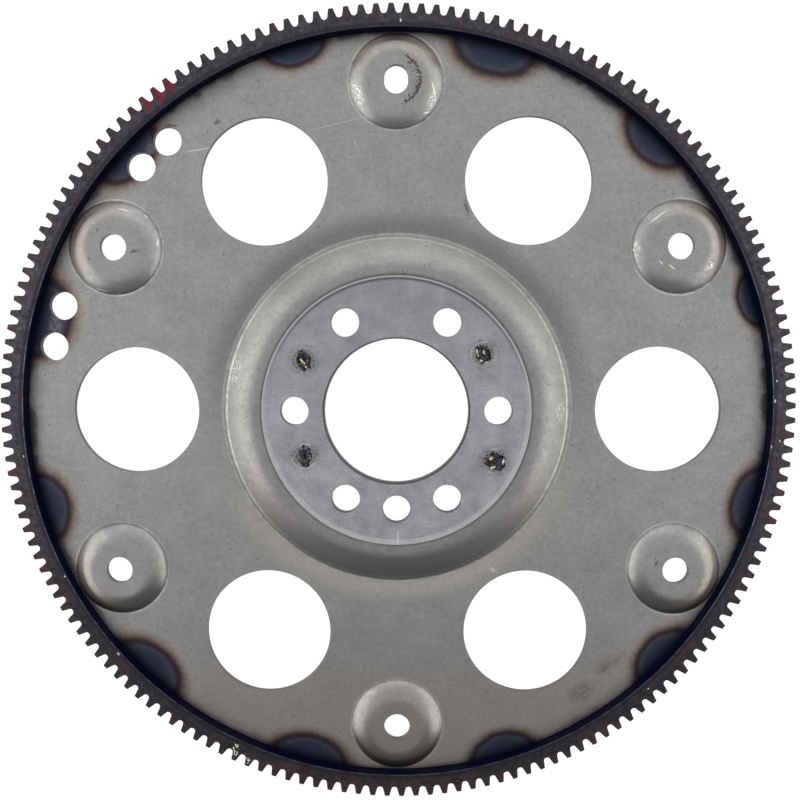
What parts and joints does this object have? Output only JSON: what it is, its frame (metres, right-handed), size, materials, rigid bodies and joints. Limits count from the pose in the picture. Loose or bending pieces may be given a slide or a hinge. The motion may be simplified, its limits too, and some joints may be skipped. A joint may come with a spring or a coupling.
{
  "type": "flexplate",
  "caption": "Stamped steel flexplate with a raised hub disc, raised converter pads and a welded starter ring gear.",
  "frame": {"origin": "on the axis, in the plane of the back face of the ring gear, which the part rests on", "axes": "+Z along the axis towards the torque converter; +Y towards the converter pad with the slotted hole; the dowel hole is on -Y"},
  "size_m": [0.3576, 0.3576, 0.0148],
  "materials": {
    "ring_steel": "dark heat-blued and oxidised, satin",
    "sheet_steel": "bare cold-rolled, mottled satin",
    "disc_steel": "bare, finely ground",
    "burnt_weld": "dark pitted weld metal",
    "bead_steel": "scaled weld bead"
  },
  "bodies": {
    "root": {"ring_gear": "ring_steel", "drive_plate": "sheet_steel", "hub_plate": "disc_steel", "hub_weld_1": "burnt_weld", "hub_weld_2": "burnt_weld", "hub_weld_3": "burnt_weld", "hub_weld_4": "burnt_weld", "ring_weld_01": "bead_steel", "ring_weld_02": "bead_steel", "ring_weld_03": "bead_steel", "ring_weld_04": "bead_steel", "ring_weld_05": "bead_steel", "ring_weld_06": "bead_steel", "ring_weld_07": "bead_steel", "ring_weld_08": "bead_steel", "ring_weld_09": "bead_steel", "ring_weld_10": "bead_steel", "ring_weld_11": "bead_steel", "ring_weld_12": "bead_steel"}
  },
  "joints": []
}
